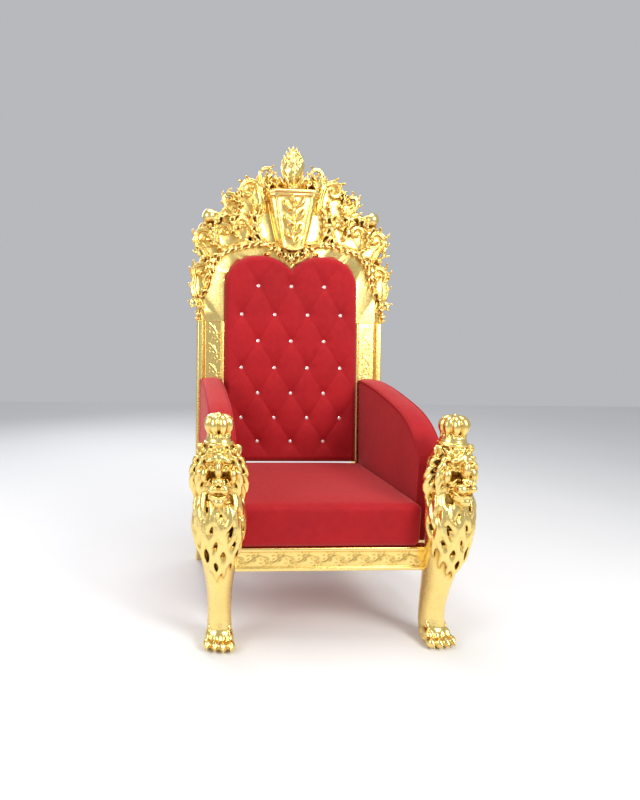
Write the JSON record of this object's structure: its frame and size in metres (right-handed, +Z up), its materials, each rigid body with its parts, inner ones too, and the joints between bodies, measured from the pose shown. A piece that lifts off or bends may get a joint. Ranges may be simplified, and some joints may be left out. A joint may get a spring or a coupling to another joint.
{
  "type": "throne",
  "caption": "High-backed gilded throne with crowned lion front legs, a carved crest and red velvet upholstery, button-tufted in the back.",
  "frame": {"origin": "on the floor, under the centre of the throne's box", "axes": "+X to the right as seen from the front, -Y to the front, +Z up"},
  "size_m": [0.9424, 0.9812, 1.8009],
  "materials": {
    "gilding": "carved wood, bright polished gold gilding, darker in the hollows",
    "velvet": "crimson velvet with a soft sheen",
    "crystal": "small faceted crystal buttons in gilt cups, opaque backed",
    "gilt_trim": "polished gilt upholstery nails and beads",
    "dust_cloth": "plain black bottoming cloth"
  },
  "bodies": {
    "root": {"lion_left": "gilding", "lion_right": "gilding", "front_rail": "gilding", "side_rail_left": "gilding", "side_rail_right": "gilding", "back_rail": "gilding", "rear_post_left": "gilding", "rear_post_right": "gilding", "crest": "gilding", "seat_cushion": "velvet", "back_cushion": "velvet", "outside_back": "velvet", "arm_left": "velvet", "arm_right": "velvet", "button_01": "crystal", "button_02": "crystal", "button_03": "crystal", "button_04": "crystal", "button_05": "crystal", "button_06": "crystal", "button_07": "crystal", "button_08": "crystal", "button_09": "crystal", "button_10": "crystal", "button_11": "crystal", "button_12": "crystal", "button_13": "crystal", "button_14": "crystal", "button_15": "crystal", "button_16": "crystal", "button_17": "crystal", "button_18": "crystal", "button_19": "crystal", "button_20": "crystal", "button_21": "crystal", "button_22": "crystal", "button_23": "crystal", "button_24": "crystal"}
  },
  "joints": []
}
